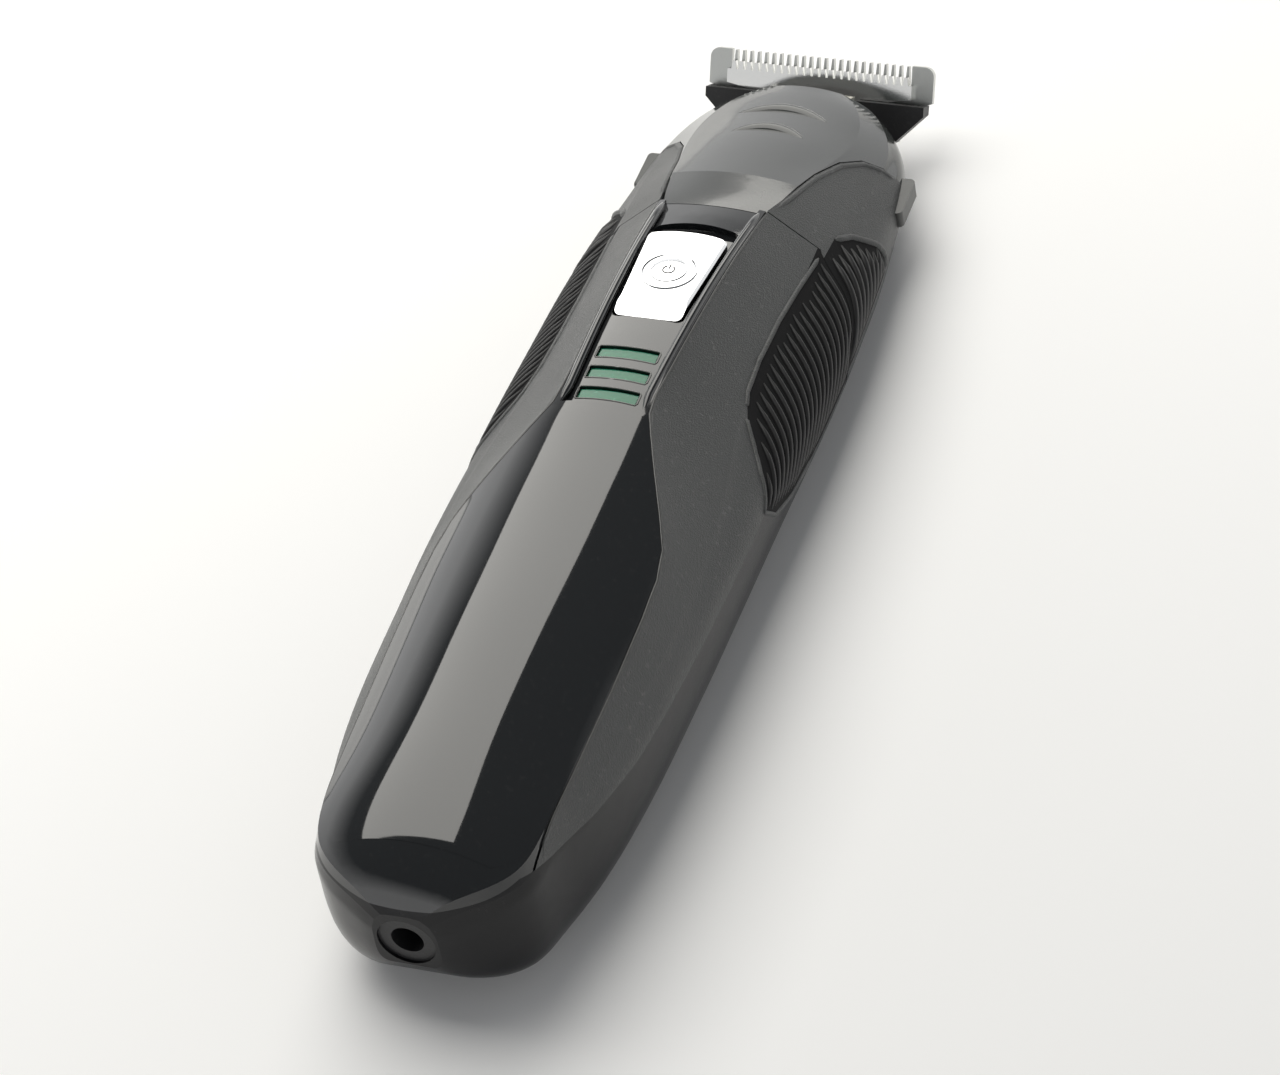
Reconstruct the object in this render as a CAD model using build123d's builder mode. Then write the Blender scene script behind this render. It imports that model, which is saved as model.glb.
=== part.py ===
"""Cordless beard trimmer with its T-blade head fitted, lying on its back.

+Y runs along the body to the blade, +X to the right and +Z out of the front.
The origin is under the middle of the trimmer, on the surface that it lies on.
All sizes are millimetres.
"""

import os
from math import atan2, cos, degrees, radians, sin

from build123d import *

os.makedirs("parts", exist_ok=True)

# Overall sizes
handle_length = 118.0       # bottom end to the line where the head meets the front
head_length = 44.0          # that line to the blade tips
body_half_width = 20.0
body_depth = 28.4

# Walls and gaps
skin = 1.6                  # outer covers
frame_wall = 1.4            # frame under the covers
seam = 0.16                 # gap between two covers
part_gap = 0.45             # gap between the head and the handle
seal_play = 0.1             # seal to the head's wall
slide_play = 0.3            # round what slides
shaft_play = 0.05           # radial, shaft in a bush

# Channel, switch and light windows on the front
rail_width = 0.9
channel_depth = 0.8
cap_dip_length = 8.0        # over which the cap drops to the channel's floor
button_length = 17.5
button_top_half = 5.45
button_low_half = 4.45
button_height = 2.1
button_facet_length = 3.2
button_facet_drop = 0.8
button_travel = 3.0
button_gap_to_head = 8.4    # head line to the upper edge of the button
pocket_depth = 2.0
pocket_floor = 1.2
stem_width = 3.0
stem_length = 5.0
window_half = 3.95
window_height = 2.0
window_pitch = 3.8
window_count = 3
window_play = 0.2           # round each light bar
window_sink = 0.3           # light bar below the channel's floor
window_gap_to_head = 32.0   # head line to the upper window

# Power train
cell_radius = 5.25
cell_gap_to_end = 16.0
cell_length = 44.5
motor_width = 20.4
motor_depth = 15.4
motor_length = 24.0
motor_gap_to_head = 8.0
shaft_radius = 1.0
eccentric_radius = 3.0
eccentric_offset = 0.9
drive_pin_radius = 0.7
rest_gap = 0.2              # under the cell and the motor
end_cap_length = 3.0
bush_radius = 3.0
bush_length = 3.0
board_thickness = 1.0
lamp_size = (3.0, 1.6, 1.4)
board_low_half = 6.2
board_high_half = 7.6
switch_half = 4.0
switch_body_height = 2.0
slider_well = 1.1
socket_bore_radius = 2.0
socket_depth = 8.0
socket_outer_radius = 3.6

# Head
neck_length = 6.0
neck_wall = 1.4
bulkhead = 2.0
blade_tilt = 58.0           # blade plane from +Y towards +Z, degrees
blade_half = 16.0
blade_thickness = 0.9
tooth_count = 24
tooth_pitch = 1.07
cutter_half = 13.2
cutter_thickness = 0.8
cutter_travel = 1.2
tooth_length = 3.1
blade_back = 10.5           # blade tips to the blade's lower edge
cutter_drop = 1.5           # blade tips to the moving blade's tips
cutter_play = 0.03
lever_arm = 16.0
lever_thickness = 2.2
lever_pin_radius = 0.9

# Screws
screw_radius = 1.1
screw_head_radius = 2.1
screw_slot = (0.7, 2.6, 1.4)
motor_screw_x = 6.0
motor_screw_radius = 0.8
motor_screw_head_radius = 1.5

overall_length = handle_length + head_length
bottom_y = -overall_length / 2
tip_y = overall_length / 2
wide = body_half_width / 20.0
deep = body_depth / 28.4
long = handle_length / 118.0

# Cross-sections, drawn for a body 40 wide and 28.4 deep: distance along, front height,
# then x and z of the shoulder, the crease, the widest point and the edge of the back.
# The back dips just under the surface it lies on, and is cut off flat there.
handle_sections = (
    (0.0, 17.8, 2.4, 17.6, 3.4, 16.6, 4.0, 14.3, 2.4, 9.4),
    (1.2, 20.0, 5.0, 19.3, 6.0, 17.8, 6.8, 14.9, 4.0, 7.1),
    (3.5, 22.5, 8.9, 20.3, 9.9, 18.6, 10.5, 15.7, 6.2, 4.7),
    (7.0, 24.3, 12.2, 20.5, 12.9, 18.8, 13.4, 16.7, 8.0, 2.8),
    (12.0, 25.6, 13.5, 21.1, 14.1, 18.9, 14.5, 16.9, 8.6, 1.4),
    (19.0, 26.6, 13.8, 21.5, 15.3, 18.7, 16.1, 16.2, 9.2, 0.3),
    (29.0, 27.3, 14.1, 21.8, 16.5, 18.6, 17.9, 15.4, 9.6, -0.2),
    (40.0, 27.8, 14.35, 22.3, 17.0, 18.6, 18.8, 14.8, 10.0, -0.2),
    (49.0, 28.0, 14.45, 22.7, 17.3, 18.6, 19.2, 14.4, 10.0, -0.2),
    (55.0, 28.1, 13.9, 23.3, 17.3, 18.6, 19.45, 14.4, 10.0, -0.2),
    (62.0, 28.2, 11.6, 25.0, 17.0, 18.7, 19.6, 14.2, 10.0, -0.2),
    (70.0, 28.3, 8.3, 26.7, 16.3, 19.0, 19.7, 13.6, 10.0, -0.2),
    (78.0, 28.4, 6.2, 27.5, 15.0, 19.7, 19.75, 12.8, 10.0, -0.2),
    (88.0, 28.2, 6.0, 27.5, 13.8, 20.2, 19.9, 11.9, 10.0, -0.2),
    (98.0, 27.6, 6.3, 26.9, 13.5, 19.9, 20.0, 11.0, 10.0, -0.2),
    (108.0, 26.3, 6.8, 25.6, 13.6, 19.1, 19.9, 10.6, 10.0, -0.2),
    (118.0, 24.3, 7.3, 23.6, 13.9, 18.0, 19.45, 10.0, 10.0, -0.2),
)
head_sections = (
    (6.0, 22.7, 8.3, 21.8, 14.5, 16.7, 19.1, 9.6, 9.8, -0.2),
    (12.0, 21.1, 9.4, 19.7, 15.0, 15.2, 18.6, 9.4, 9.5, 0.3),
    (19.0, 19.2, 10.6, 17.2, 15.2, 13.7, 17.9, 9.3, 9.0, 1.0),
    (25.0, 17.4, 10.8, 15.4, 14.8, 12.6, 16.8, 9.3, 8.4, 1.9),
    (29.0, 16.2, 9.9, 14.6, 13.4, 12.3, 15.1, 9.4, 7.6, 2.6),
    (33.0, 15.0, 7.9, 13.9, 10.8, 12.2, 12.1, 9.8, 6.0, 3.6),
    (35.6, 14.2, 5.2, 13.5, 7.4, 12.3, 8.6, 10.2, 4.2, 4.6),
)


def section_plane(along):
    """Plane across the body at a distance from the bottom end, drawn as x and z."""
    return Plane(origin=(0, bottom_y + along, 0), x_dir=(1, 0, 0), z_dir=(0, -1, 0))


def moved_in(before, point, after, inset):
    """A corner of a section, moved inwards by inset from both of its edges."""
    normals = []
    for start, end in ((before, point), (point, after)):
        run, rise = end[0] - start[0], end[1] - start[1]
        size = (run**2 + rise**2) ** 0.5
        normals.append((-rise / size, run / size))
    across, up = normals[0][0] + normals[1][0], normals[0][1] + normals[1][1]
    share = 2 * inset / (across**2 + up**2)
    return (point[0] - share * across, point[1] - share * up)


def hull(inset, start=0.0, end=overall_length):
    """The body's outer shape, moved inwards by inset, between two distances along it."""
    rows = [(row[0] * long,) + row[1:] for row in handle_sections if row[0] >= inset]
    rows += [(handle_length + row[0],) + row[1:] for row in head_sections]
    rows = [row for row in rows if start <= row[0] <= end]
    with BuildPart() as shape:
        for along, front, *sizes in rows:
            points = [(x * wide, z * deep) for x, z in zip(sizes[0::2], sizes[1::2])]
            shoulder, crease, widest, back = points
            front = front * deep
            arc_slope = 2 * (front - shoulder[1]) / shoulder[0]
            before = (shoulder[0] - 1, shoulder[1] + arc_slope)
            shoulder_in = moved_in(before, shoulder, crease, inset)
            crease_in = moved_in(shoulder, crease, widest, inset)
            widest_in = (widest[0] - inset, widest[1])
            back_in = (back[0] - 0.4 * inset, back[1] + inset)
            with BuildSketch(section_plane(along)):
                with BuildLine():
                    left, right = (-shoulder_in[0], shoulder_in[1]), shoulder_in
                    ThreePointArc(left, (0, front - inset), right)
                    for side in (1, -1):
                        corners = (shoulder_in, crease_in, widest_in, back_in)
                        a, b, c, d = [(side * x, z) for x, z in corners]
                        Line(a, b)
                        Spline(b, c, tangents=[(c[0] - b[0], c[1] - b[1]), (0, -1)])
                        Spline(c, d, tangents=[(0, -1), (-side, 0)])
                    Line(back_in, (-back_in[0], back_in[1]))
                make_face()
        loft()
    return shape.part


def seen_from_front(points, low, high, grow=0.0):
    """Upright prism over a mirrored outline of (x, distance along) points."""
    with BuildPart() as prism:
        with BuildSketch(Plane.XY.offset(low)):
            with BuildLine():
                right = [((x + grow), bottom_y + along) for x, along in points]
                left = [(-x, y) for x, y in reversed(right)]
                Polyline(*(right + left), close=True)
            make_face()
        extrude(amount=high - low)
    return prism.part


def seen_from_side(points, low, high):
    """Prism along X, from low to high, over an outline of (distance along, z) points."""
    with BuildPart() as prism:
        with BuildSketch(Plane.YZ.offset(low)):
            with BuildLine():
                Polyline(*[(bottom_y + along, z) for along, z in points], close=True)
            make_face()
        extrude(amount=high - low)
    return prism.part


def between(start, end, half=40.0, low=-5.0, high=45.0):
    """Block across the whole body between two distances from the bottom end."""
    with BuildPart() as block:
        with BuildSketch(Plane.XY.offset(low)):
            with BuildLine():
                Polyline(
                    (-half, bottom_y + start), (half, bottom_y + start),
                    (half, bottom_y + end), (-half, bottom_y + end), close=True,
                )
            make_face()
        extrude(amount=high - low)
    return block.part


above_ground = between(-5, overall_length + 5, low=0)
outer = hull(0) & above_ground
under_skin = hull(skin)
inside = hull(skin + frame_wall)
channel_bed = hull(channel_depth)

# Where the pieces part. The front cover's border, seen from the front:
border = [
    (13.3, 6.0), (13.6, 11.0), (14.0, 22.0), (14.35, 34.5), (14.45, 46.0), (14.3, 52.0),
    (13.6, 56.5), (12.2, 60.2), (10.1, 65.3), (7.4, 71.9), (6.25, 75.0), (6.0, 78.0),
]
border = [(x * wide, along * long) for x, along in border]
border = [(border[0][0], -5.0)] + border + [(7.3 * wide, handle_length), (7.3 * wide, handle_length + 2)]

# The line between the covers and the rear housing, and the head's lower edge, from the side:
rear_line = [
    (-5.0, 18.5), (0.0, 18.5), (3.0, 18.9), (6.8, 19.5), (12.0, 18.0), (20.0, 16.5),
    (32.0, 15.0), (48.0, 14.1), (62.0, 13.7), (74.0, 13.7),
]
rear_line = [(along * long, z * deep) for along, z in rear_line]
rear_line += [(handle_length + 60.0, 13.7 * deep)]
slant_top = (handle_length - 0.3, 18.0 * deep)
slant_low = (handle_length - 11.5, 9.0 * deep)

grip_outline = [
    (slant_top[0] + 2.0, slant_top[1] + 0.2), (handle_length - 9.0, 18.9 * deep),
    (handle_length - 16.0, 19.7 * deep), (handle_length - 24.0, 20.2 * deep),
    (handle_length - 30.0, 20.2 * deep), (handle_length - 34.0, 19.2 * deep),
    (handle_length - 40.0, 16.6 * deep), (handle_length - 44.2, 13.9 * deep),
    (handle_length - 41.0, 10.6 * deep), (handle_length - 35.0, 8.2 * deep),
    (handle_length - 27.0, 7.0 * deep), (slant_low[0] - 0.3, 6.6 * deep),
    (slant_low[0] + 2.0, 6.6 * deep),
]
below_rear_line = seen_from_side(rear_line + [(handle_length + 60.0, -5), (-5, -5)], -40, 40)
above_rear_line = seen_from_side(rear_line + [(handle_length + 60.0, 45), (-5, 45)], -40, 40)


def handle_side(gap):
    """Everything on the handle's side of the line where the head comes off."""
    line = [
        (handle_length - gap, 45), (handle_length - gap, slant_top[1]),
        (slant_low[0] - gap, slant_low[1]), (slant_low[0] - gap, -5), (-10, -5), (-10, 45),
    ]
    return seen_from_side(line, -40, 40)


def head_side():
    """Everything on the head's side of the same line."""
    line = [
        (handle_length, 45), slant_top, slant_low, (slant_low[0], -5),
        (overall_length + 5, -5), (overall_length + 5, 45),
    ]
    return seen_from_side(line, -40, 40)


half_zones = {
    "left": seen_from_side([(-10, -5), (240, -5), (240, 45), (-10, 45)], -45, 0),
    "right": seen_from_side([(-10, -5), (240, -5), (240, 45), (-10, 45)], 0, 45),
}
handle_zone = handle_side(part_gap)
head_zone = head_side()
cover_zone = seen_from_front(border, 10 * deep, 45, -seam / 2)
cover_hole = seen_from_front(border, 10 * deep, 45, seam / 2)
grip_zones = {
    "left": seen_from_side(grip_outline, -40, -9 * wide),
    "right": seen_from_side(grip_outline, 9 * wide, 40),
}

# Switch: the button slides on a plane that follows the slope of the front
switch_tilt = 4.9
switch_top = handle_length - button_gap_to_head
switch_mid = switch_top - button_length / 2
bed_height = 24.55 * deep
bed_plane = Plane(
    origin=(0, bottom_y + switch_mid, bed_height),
    x_dir=(1, 0, 0),
    z_dir=(0, sin(radians(switch_tilt)), cos(radians(switch_tilt))),
)
tray_half = button_top_half + slide_play + 2.0
tray_low = -button_length / 2 - slide_play - 1.0
tray_high = button_length / 2 + button_travel + slide_play + 1.0


def button_outline(grow, extra_top):
    """Tapered outline of the button with a bowed upper edge."""
    low = -button_length / 2 - grow
    high = button_length / 2 + grow + extra_top
    low_half = button_low_half + grow
    top_half = button_top_half + grow
    with BuildSketch(bed_plane) as outline:
        with BuildLine():
            Polyline((-top_half, high - 1.0), (-low_half, low), (low_half, low), (top_half, high - 1.0))
            ThreePointArc((-top_half, high - 1.0), (0, high), (top_half, high - 1.0))
        make_face()
        fillet(outline.vertices().group_by(Axis.Y)[-1], 1.2)
        fillet(outline.vertices().group_by(Axis.Y)[0], 1.0)
    return outline.sketch


# Light windows, lowest to highest, as distances from the bottom end
window_places = [
    handle_length - window_gap_to_head - window_height / 2 - window_pitch * i
    for i in range(window_count)
]

# ---------------------------------------------------------------- handle covers
with BuildPart() as tray:
    with BuildSketch(bed_plane.offset(-pocket_floor)):
        with Locations((0, (tray_low + tray_high) / 2)):
            Rectangle(2 * tray_half, tray_high - tray_low)
    extrude(amount=pocket_floor + 4)
    add(channel_bed, mode=Mode.INTERSECT)
    add(cover_zone, mode=Mode.INTERSECT)
    add(handle_zone, mode=Mode.INTERSECT)

channel = [(x - rail_width, along) for x, along in border if along > handle_length - 43.5]
with BuildPart() as channel_cut:
    add(outer)
    add(channel_bed, mode=Mode.SUBTRACT)
    add(seen_from_front(channel, 15 * deep, 45), mode=Mode.INTERSECT)

with BuildPart() as front_panel:
    add(outer)
    add(under_skin, mode=Mode.SUBTRACT)
    add(above_rear_line, mode=Mode.INTERSECT)
    add(handle_zone, mode=Mode.INTERSECT)
    add(cover_zone, mode=Mode.INTERSECT)
    add(channel_cut.part, mode=Mode.SUBTRACT)
    add(tray.part)
    add(button_outline(slide_play, button_travel))
    extrude(amount=pocket_depth + 4, mode=Mode.SUBTRACT)
    with BuildSketch(bed_plane.offset(-pocket_floor)):
        with Locations((0, button_travel / 2)):
            Rectangle(stem_width + 2 * slide_play, stem_length + button_travel + 2 * slide_play)
    extrude(amount=pocket_floor, mode=Mode.SUBTRACT)
    for place in window_places:
        with BuildSketch(Plane.XY.offset(20 * deep)):
            with Locations((0, bottom_y + place)):
                Rectangle(2 * window_half, window_height)
        extrude(amount=15, mode=Mode.SUBTRACT)
front_panel.part.label = "front_panel"
export_step(front_panel.part, "parts/front_panel.step")

with BuildPart() as cover_ring:
    add(outer)
    add(under_skin, mode=Mode.SUBTRACT)
    add(handle_zone, mode=Mode.INTERSECT)

for side, grip_zone in grip_zones.items():
    with BuildPart() as side_panel:
        add(cover_ring.part)
        add(above_rear_line, mode=Mode.INTERSECT)
        add(half_zones[side], mode=Mode.INTERSECT)
        add(cover_hole, mode=Mode.SUBTRACT)
        add(grip_zone, mode=Mode.SUBTRACT)
    side_panel.part.label = f"side_panel_{side}"
    export_step(side_panel.part, f"parts/side_panel_{side}.step")

    with BuildPart() as grip:
        add(cover_ring.part)
        add(grip_zone, mode=Mode.INTERSECT)
    grip.part.label = f"grip_{side}"
    export_step(grip.part, f"parts/grip_{side}.step")

# ---------------------------------------------------------------- frame and rear housing
cell_z = skin + frame_wall + rest_gap + cell_radius
motor_z = skin + frame_wall + rest_gap + motor_depth / 2
cell_start = cell_gap_to_end
cell_end = cell_start + cell_length
motor_end = handle_length - motor_gap_to_head
motor_start = motor_end - motor_length
cradle_thickness = 1.2
boss_radius = 2.8
boss_split = 13.9 * deep
screw_x = 9.5
screw_places = [(side * screw_x, along) for side in (-1, 1) for along in (30.0 * long, handle_length - 50.0)]
screw_head_low = 3.6
screw_head_height = 1.5
screw_end = 19.0 * deep
socket_z = 13.3 * deep
socket_start = 0.4
socket_length = socket_depth + 3.0
board_top = -pocket_floor - 0.35 - switch_body_height
board_low_end = handle_length - 43.0 - switch_mid
board_high_end = 8.4
board_post_radius = 1.1
board_posts = [
    (side * x, along) for side in (-1, 1)
    for x, along in ((board_low_half - 0.8, board_low_end + 3), (board_high_half - 0.7, board_high_end - 2))
]
guide_half = window_half + 0.9
guide_low = window_places[-1] - window_height / 2 - 1.2
guide_high = window_places[0] + window_height / 2 + 1.2

with BuildPart() as guide_block:
    with BuildSketch(Plane.XY.offset(15 * deep)):
        with Locations((0, bottom_y + (guide_low + guide_high) / 2)):
            Rectangle(2 * guide_half, guide_high - guide_low)
    extrude(amount=20)

outer_skin = outer - under_skin
grip_pads = [outer_skin & grip_zone for grip_zone in grip_zones.values()]

with BuildPart() as front_frame:
    add(under_skin)
    add(inside, mode=Mode.SUBTRACT)
    with BuildSketch(Plane.XY.offset(boss_split)):
        with Locations(*[(x, bottom_y + along) for x, along in screw_places]):
            Circle(boss_radius)
    extrude(amount=20)
    with BuildSketch(bed_plane.offset(board_top)):
        with Locations(*board_posts):
            Circle(board_post_radius)
    extrude(amount=12)
    add(under_skin, mode=Mode.INTERSECT)
    add(above_rear_line, mode=Mode.INTERSECT)
    add(handle_zone, mode=Mode.INTERSECT)
    add(tray.part, mode=Mode.SUBTRACT)
    add(guide_block.part, mode=Mode.SUBTRACT)
    with Locations(*[(x, bottom_y + along, boss_split) for x, along in screw_places]):
        Cylinder(screw_radius, 2 * (screw_end - boss_split), mode=Mode.SUBTRACT)
front_frame.part.label = "front_frame"
export_step(front_frame.part, "parts/front_frame.step")

with BuildPart() as rear_housing:
    add(outer)
    add(inside, mode=Mode.SUBTRACT)
    with BuildSketch(Plane.XY.offset(skin)):
        with Locations(*[(x, bottom_y + along) for x, along in screw_places]):
            Circle(boss_radius)
    extrude(amount=boss_split - skin)
    cradles = (cell_start + 6, cell_end - 6, motor_start + 6, motor_end - 6)
    for along in cradles:
        with BuildSketch(section_plane(along)):
            with Locations((0, (skin + cell_z) / 2)):
                Rectangle(motor_width + 6, cell_z - skin)
        extrude(amount=cradle_thickness, both=True)
    add(outer, mode=Mode.INTERSECT)
    add(below_rear_line, mode=Mode.INTERSECT)
    add(handle_zone, mode=Mode.INTERSECT)
    with BuildSketch(section_plane(cell_start - 1)):
        with Locations((0, cell_z)):
            Circle(cell_radius)
    extrude(amount=-(cell_length + 2), mode=Mode.SUBTRACT)
    with BuildSketch(section_plane(motor_start - 4)):
        with Locations((0, motor_z)):
            Circle(motor_width / 2)
            Rectangle(motor_width, motor_depth, mode=Mode.INTERSECT)
    extrude(amount=-(motor_length + 8), mode=Mode.SUBTRACT)
    for x, along in screw_places:
        with Locations((x, bottom_y + along, 0)):
            Cylinder(screw_radius, 4 * boss_split, mode=Mode.SUBTRACT)
            Cylinder(screw_head_radius, 2 * (screw_head_low + screw_head_height), mode=Mode.SUBTRACT)
    with BuildSketch(section_plane(-2)):
        with Locations((0, socket_z)):
            Circle(socket_outer_radius)
    extrude(amount=-(socket_start + socket_length + 2), mode=Mode.SUBTRACT)
    for grip_pad in grip_pads:
        add(grip_pad, mode=Mode.SUBTRACT)
rear_housing.part.label = "rear_housing"
export_step(rear_housing.part, "parts/rear_housing.step")

with BuildPart() as housing_screws:
    for x, along in screw_places:
        with Locations((x, bottom_y + along, screw_head_low)):
            Cylinder(screw_head_radius, screw_head_height, align=(Align.CENTER, Align.CENTER, Align.MIN))
            Cylinder(
                screw_radius, screw_end - screw_head_low, align=(Align.CENTER, Align.CENTER, Align.MIN)
            )
            Box(*screw_slot, mode=Mode.SUBTRACT)
            Box(screw_slot[1], screw_slot[0], screw_slot[2], mode=Mode.SUBTRACT)
housing_screws.part.label = "housing_screws"
export_step(housing_screws.part, "parts/housing_screws.step")

# ---------------------------------------------------------------- charging socket and cell
with BuildPart() as charging_socket:
    with BuildSketch(section_plane(socket_start)):
        with Locations((0, socket_z)):
            Circle(socket_outer_radius)
    extrude(amount=-socket_length)
    with BuildSketch(section_plane(socket_start)):
        with Locations((0, socket_z)):
            Circle(socket_bore_radius)
    extrude(amount=-socket_depth, mode=Mode.SUBTRACT)
charging_socket.part.label = "charging_socket"
export_step(charging_socket.part, "parts/charging_socket.step")

with BuildPart() as socket_contacts:
    with BuildSketch(section_plane(socket_start + socket_length)):
        with Locations((-1.8, socket_z), (1.8, socket_z)):
            Rectangle(0.4, 2.4)
    extrude(amount=-2.2)
socket_contacts.part.label = "socket_contacts"
export_step(socket_contacts.part, "parts/socket_contacts.step")

with BuildPart() as cell:
    with BuildSketch(section_plane(cell_start)):
        with Locations((0, cell_z)):
            Circle(cell_radius)
    extrude(amount=-(cell_length - 1))
    fillet(cell.edges(), 0.5)
    with BuildSketch(section_plane(cell_end - 1.2)):
        with Locations((0, cell_z)):
            Circle(1.9)
    extrude(amount=-1.2)
cell.part.label = "cell"
export_step(cell.part, "parts/cell.step")

contact_thickness = 0.4
with BuildPart() as cell_contacts:
    for along in (cell_start - contact_thickness, cell_end):
        with BuildSketch(section_plane(along)):
            with Locations((0, cell_z)):
                Rectangle(5.0, 7.0)
            with Locations((0, cell_z + 5.5)):
                Rectangle(2.0, 6.0)
        extrude(amount=-contact_thickness)
cell_contacts.part.label = "cell_contacts"
export_step(cell_contacts.part, "parts/cell_contacts.step")

# ---------------------------------------------------------------- motor
with BuildPart() as motor_can:
    with BuildSketch(section_plane(motor_start + end_cap_length)):
        with Locations((0, motor_z)):
            Circle(motor_width / 2)
            Rectangle(motor_width, motor_depth, mode=Mode.INTERSECT)
    extrude(amount=-(motor_length - end_cap_length))
    with BuildSketch(section_plane(motor_end)):
        with Locations((0, motor_z)):
            Circle(shaft_radius + shaft_play)
        with Locations((-motor_screw_x, motor_z), (motor_screw_x, motor_z)):
            Circle(motor_screw_radius)
    extrude(amount=2.0, mode=Mode.SUBTRACT)
    with BuildSketch(section_plane(motor_end)):
        with Locations((0, motor_z)):
            Circle(shaft_radius + shaft_play)
    extrude(amount=motor_length - end_cap_length - 2, mode=Mode.SUBTRACT)
motor_can.part.label = "motor_can"
export_step(motor_can.part, "parts/motor_can.step")

with BuildPart() as motor_end_cap:
    with BuildSketch(section_plane(motor_start)):
        with Locations((0, motor_z)):
            Circle(motor_width / 2 - 0.3)
            Rectangle(motor_width, motor_depth - 0.6, mode=Mode.INTERSECT)
    extrude(amount=-end_cap_length)
motor_end_cap.part.label = "motor_end_cap"
export_step(motor_end_cap.part, "parts/motor_end_cap.step")

with BuildPart() as motor_terminals:
    with BuildSketch(section_plane(motor_start)):
        with Locations((-motor_screw_x, motor_z), (motor_screw_x, motor_z)):
            Rectangle(2.4, 0.5)
    extrude(amount=2.6)
motor_terminals.part.label = "motor_terminals"
export_step(motor_terminals.part, "parts/motor_terminals.step")

bush_end = motor_end + bush_length
eccentric_start = bush_end + 2.5
eccentric_end = eccentric_start + 3.0
drive_pin_end = eccentric_end + 4.0
neck_end = handle_length + neck_length
neck_space = hull(skin + frame_wall + neck_wall, handle_length - 31, handle_length + 13)
with BuildPart() as neck_ring:
    add(inside)
    add(neck_space, mode=Mode.SUBTRACT)
    add(between(motor_end, neck_end), mode=Mode.INTERSECT)

with BuildPart() as motor_mount:
    add(inside)
    add(between(motor_end, motor_end + bulkhead), mode=Mode.INTERSECT)
    add(neck_ring.part)
    add(tray.part, mode=Mode.SUBTRACT)
    with BuildSketch(section_plane(motor_end - 1)):
        with Locations((0, motor_z)):
            Circle(bush_radius)
        with Locations((-motor_screw_x, motor_z), (motor_screw_x, motor_z)):
            Circle(motor_screw_radius)
    extrude(amount=-(bulkhead + 2), mode=Mode.SUBTRACT)
motor_mount.part.label = "motor_mount"
export_step(motor_mount.part, "parts/motor_mount.step")

with BuildPart() as motor_screws:
    for x in (-motor_screw_x, motor_screw_x):
        with BuildSketch(section_plane(motor_end - 2)):
            with Locations((x, motor_z)):
                Circle(motor_screw_radius)
        extrude(amount=-(bulkhead + 2))
        with BuildSketch(section_plane(motor_end + bulkhead)):
            with Locations((x, motor_z)):
                Circle(motor_screw_head_radius)
        extrude(amount=-1.0)
motor_screws.part.label = "motor_screws"
export_step(motor_screws.part, "parts/motor_screws.step")

with BuildPart() as shaft_bush:
    with BuildSketch(section_plane(motor_end)):
        with Locations((0, motor_z)):
            Circle(bush_radius)
            Circle(shaft_radius + shaft_play, mode=Mode.SUBTRACT)
    extrude(amount=-bush_length)
shaft_bush.part.label = "shaft_bush"
export_step(shaft_bush.part, "parts/shaft_bush.step")

with BuildPart() as motor_shaft:
    with BuildSketch(section_plane(motor_start + end_cap_length + 2.5)):
        with Locations((0, motor_z)):
            Circle(shaft_radius)
    extrude(amount=-(eccentric_end - motor_start - end_cap_length - 2.5))
motor_shaft.part.label = "motor_shaft"
export_step(motor_shaft.part, "parts/motor_shaft.step")

with BuildPart() as drive_eccentric:
    with BuildSketch(section_plane(eccentric_start)):
        with Locations((0, motor_z)):
            Circle(eccentric_radius)
            Circle(shaft_radius, mode=Mode.SUBTRACT)
    extrude(amount=-(eccentric_end - eccentric_start))
    with BuildSketch(section_plane(eccentric_end)):
        with Locations((0, motor_z)):
            Circle(eccentric_radius)
    extrude(amount=-0.8)
    with BuildSketch(section_plane(eccentric_end)):
        with Locations((eccentric_offset, motor_z)):
            Circle(drive_pin_radius)
    extrude(amount=-(drive_pin_end - eccentric_end))
drive_eccentric.part.label = "drive_eccentric"
export_step(drive_eccentric.part, "parts/drive_eccentric.step")

seal_start = handle_length + 1.5
seal_length = 2.0
seal_face = hull(skin + seal_play, handle_length - 31, handle_length + 26)
with BuildPart() as seal_ring:
    add(seal_face)
    add(inside, mode=Mode.SUBTRACT)
    add(between(seal_start, seal_start + seal_length), mode=Mode.INTERSECT)
seal_ring.part.label = "seal_ring"
export_step(seal_ring.part, "parts/seal_ring.step")

# ---------------------------------------------------------------- board, lamps, switch
with BuildPart() as circuit_board:
    with BuildSketch(bed_plane.offset(board_top - board_thickness)):
        with BuildLine():
            Polyline(
                (-board_low_half, board_low_end), (-board_high_half, board_low_end + 14),
                (-board_high_half, board_high_end), (board_high_half, board_high_end),
                (board_high_half, board_low_end + 14), (board_low_half, board_low_end), close=True,
            )
        make_face()
    extrude(amount=board_thickness)
circuit_board.part.label = "circuit_board"
export_step(circuit_board.part, "parts/circuit_board.step")

with BuildPart() as indicator_lamps:
    with BuildSketch(bed_plane.offset(board_top)):
        with Locations(*[(0, place - switch_mid) for place in window_places]):
            Rectangle(lamp_size[0], lamp_size[1])
    extrude(amount=lamp_size[2])
indicator_lamps.part.label = "indicator_lamps"
export_step(indicator_lamps.part, "parts/indicator_lamps.step")

with BuildPart() as light_bars:
    with BuildSketch(Plane.XY.offset(20 * deep)):
        with Locations(*[(0, bottom_y + place) for place in window_places]):
            Rectangle(2 * (window_half - window_play), window_height - 2 * window_play)
    extrude(amount=15)
    add(channel_bed.moved(Location((0, 0, -window_sink))), mode=Mode.INTERSECT)
    add(under_skin, mode=Mode.SUBTRACT)

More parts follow.
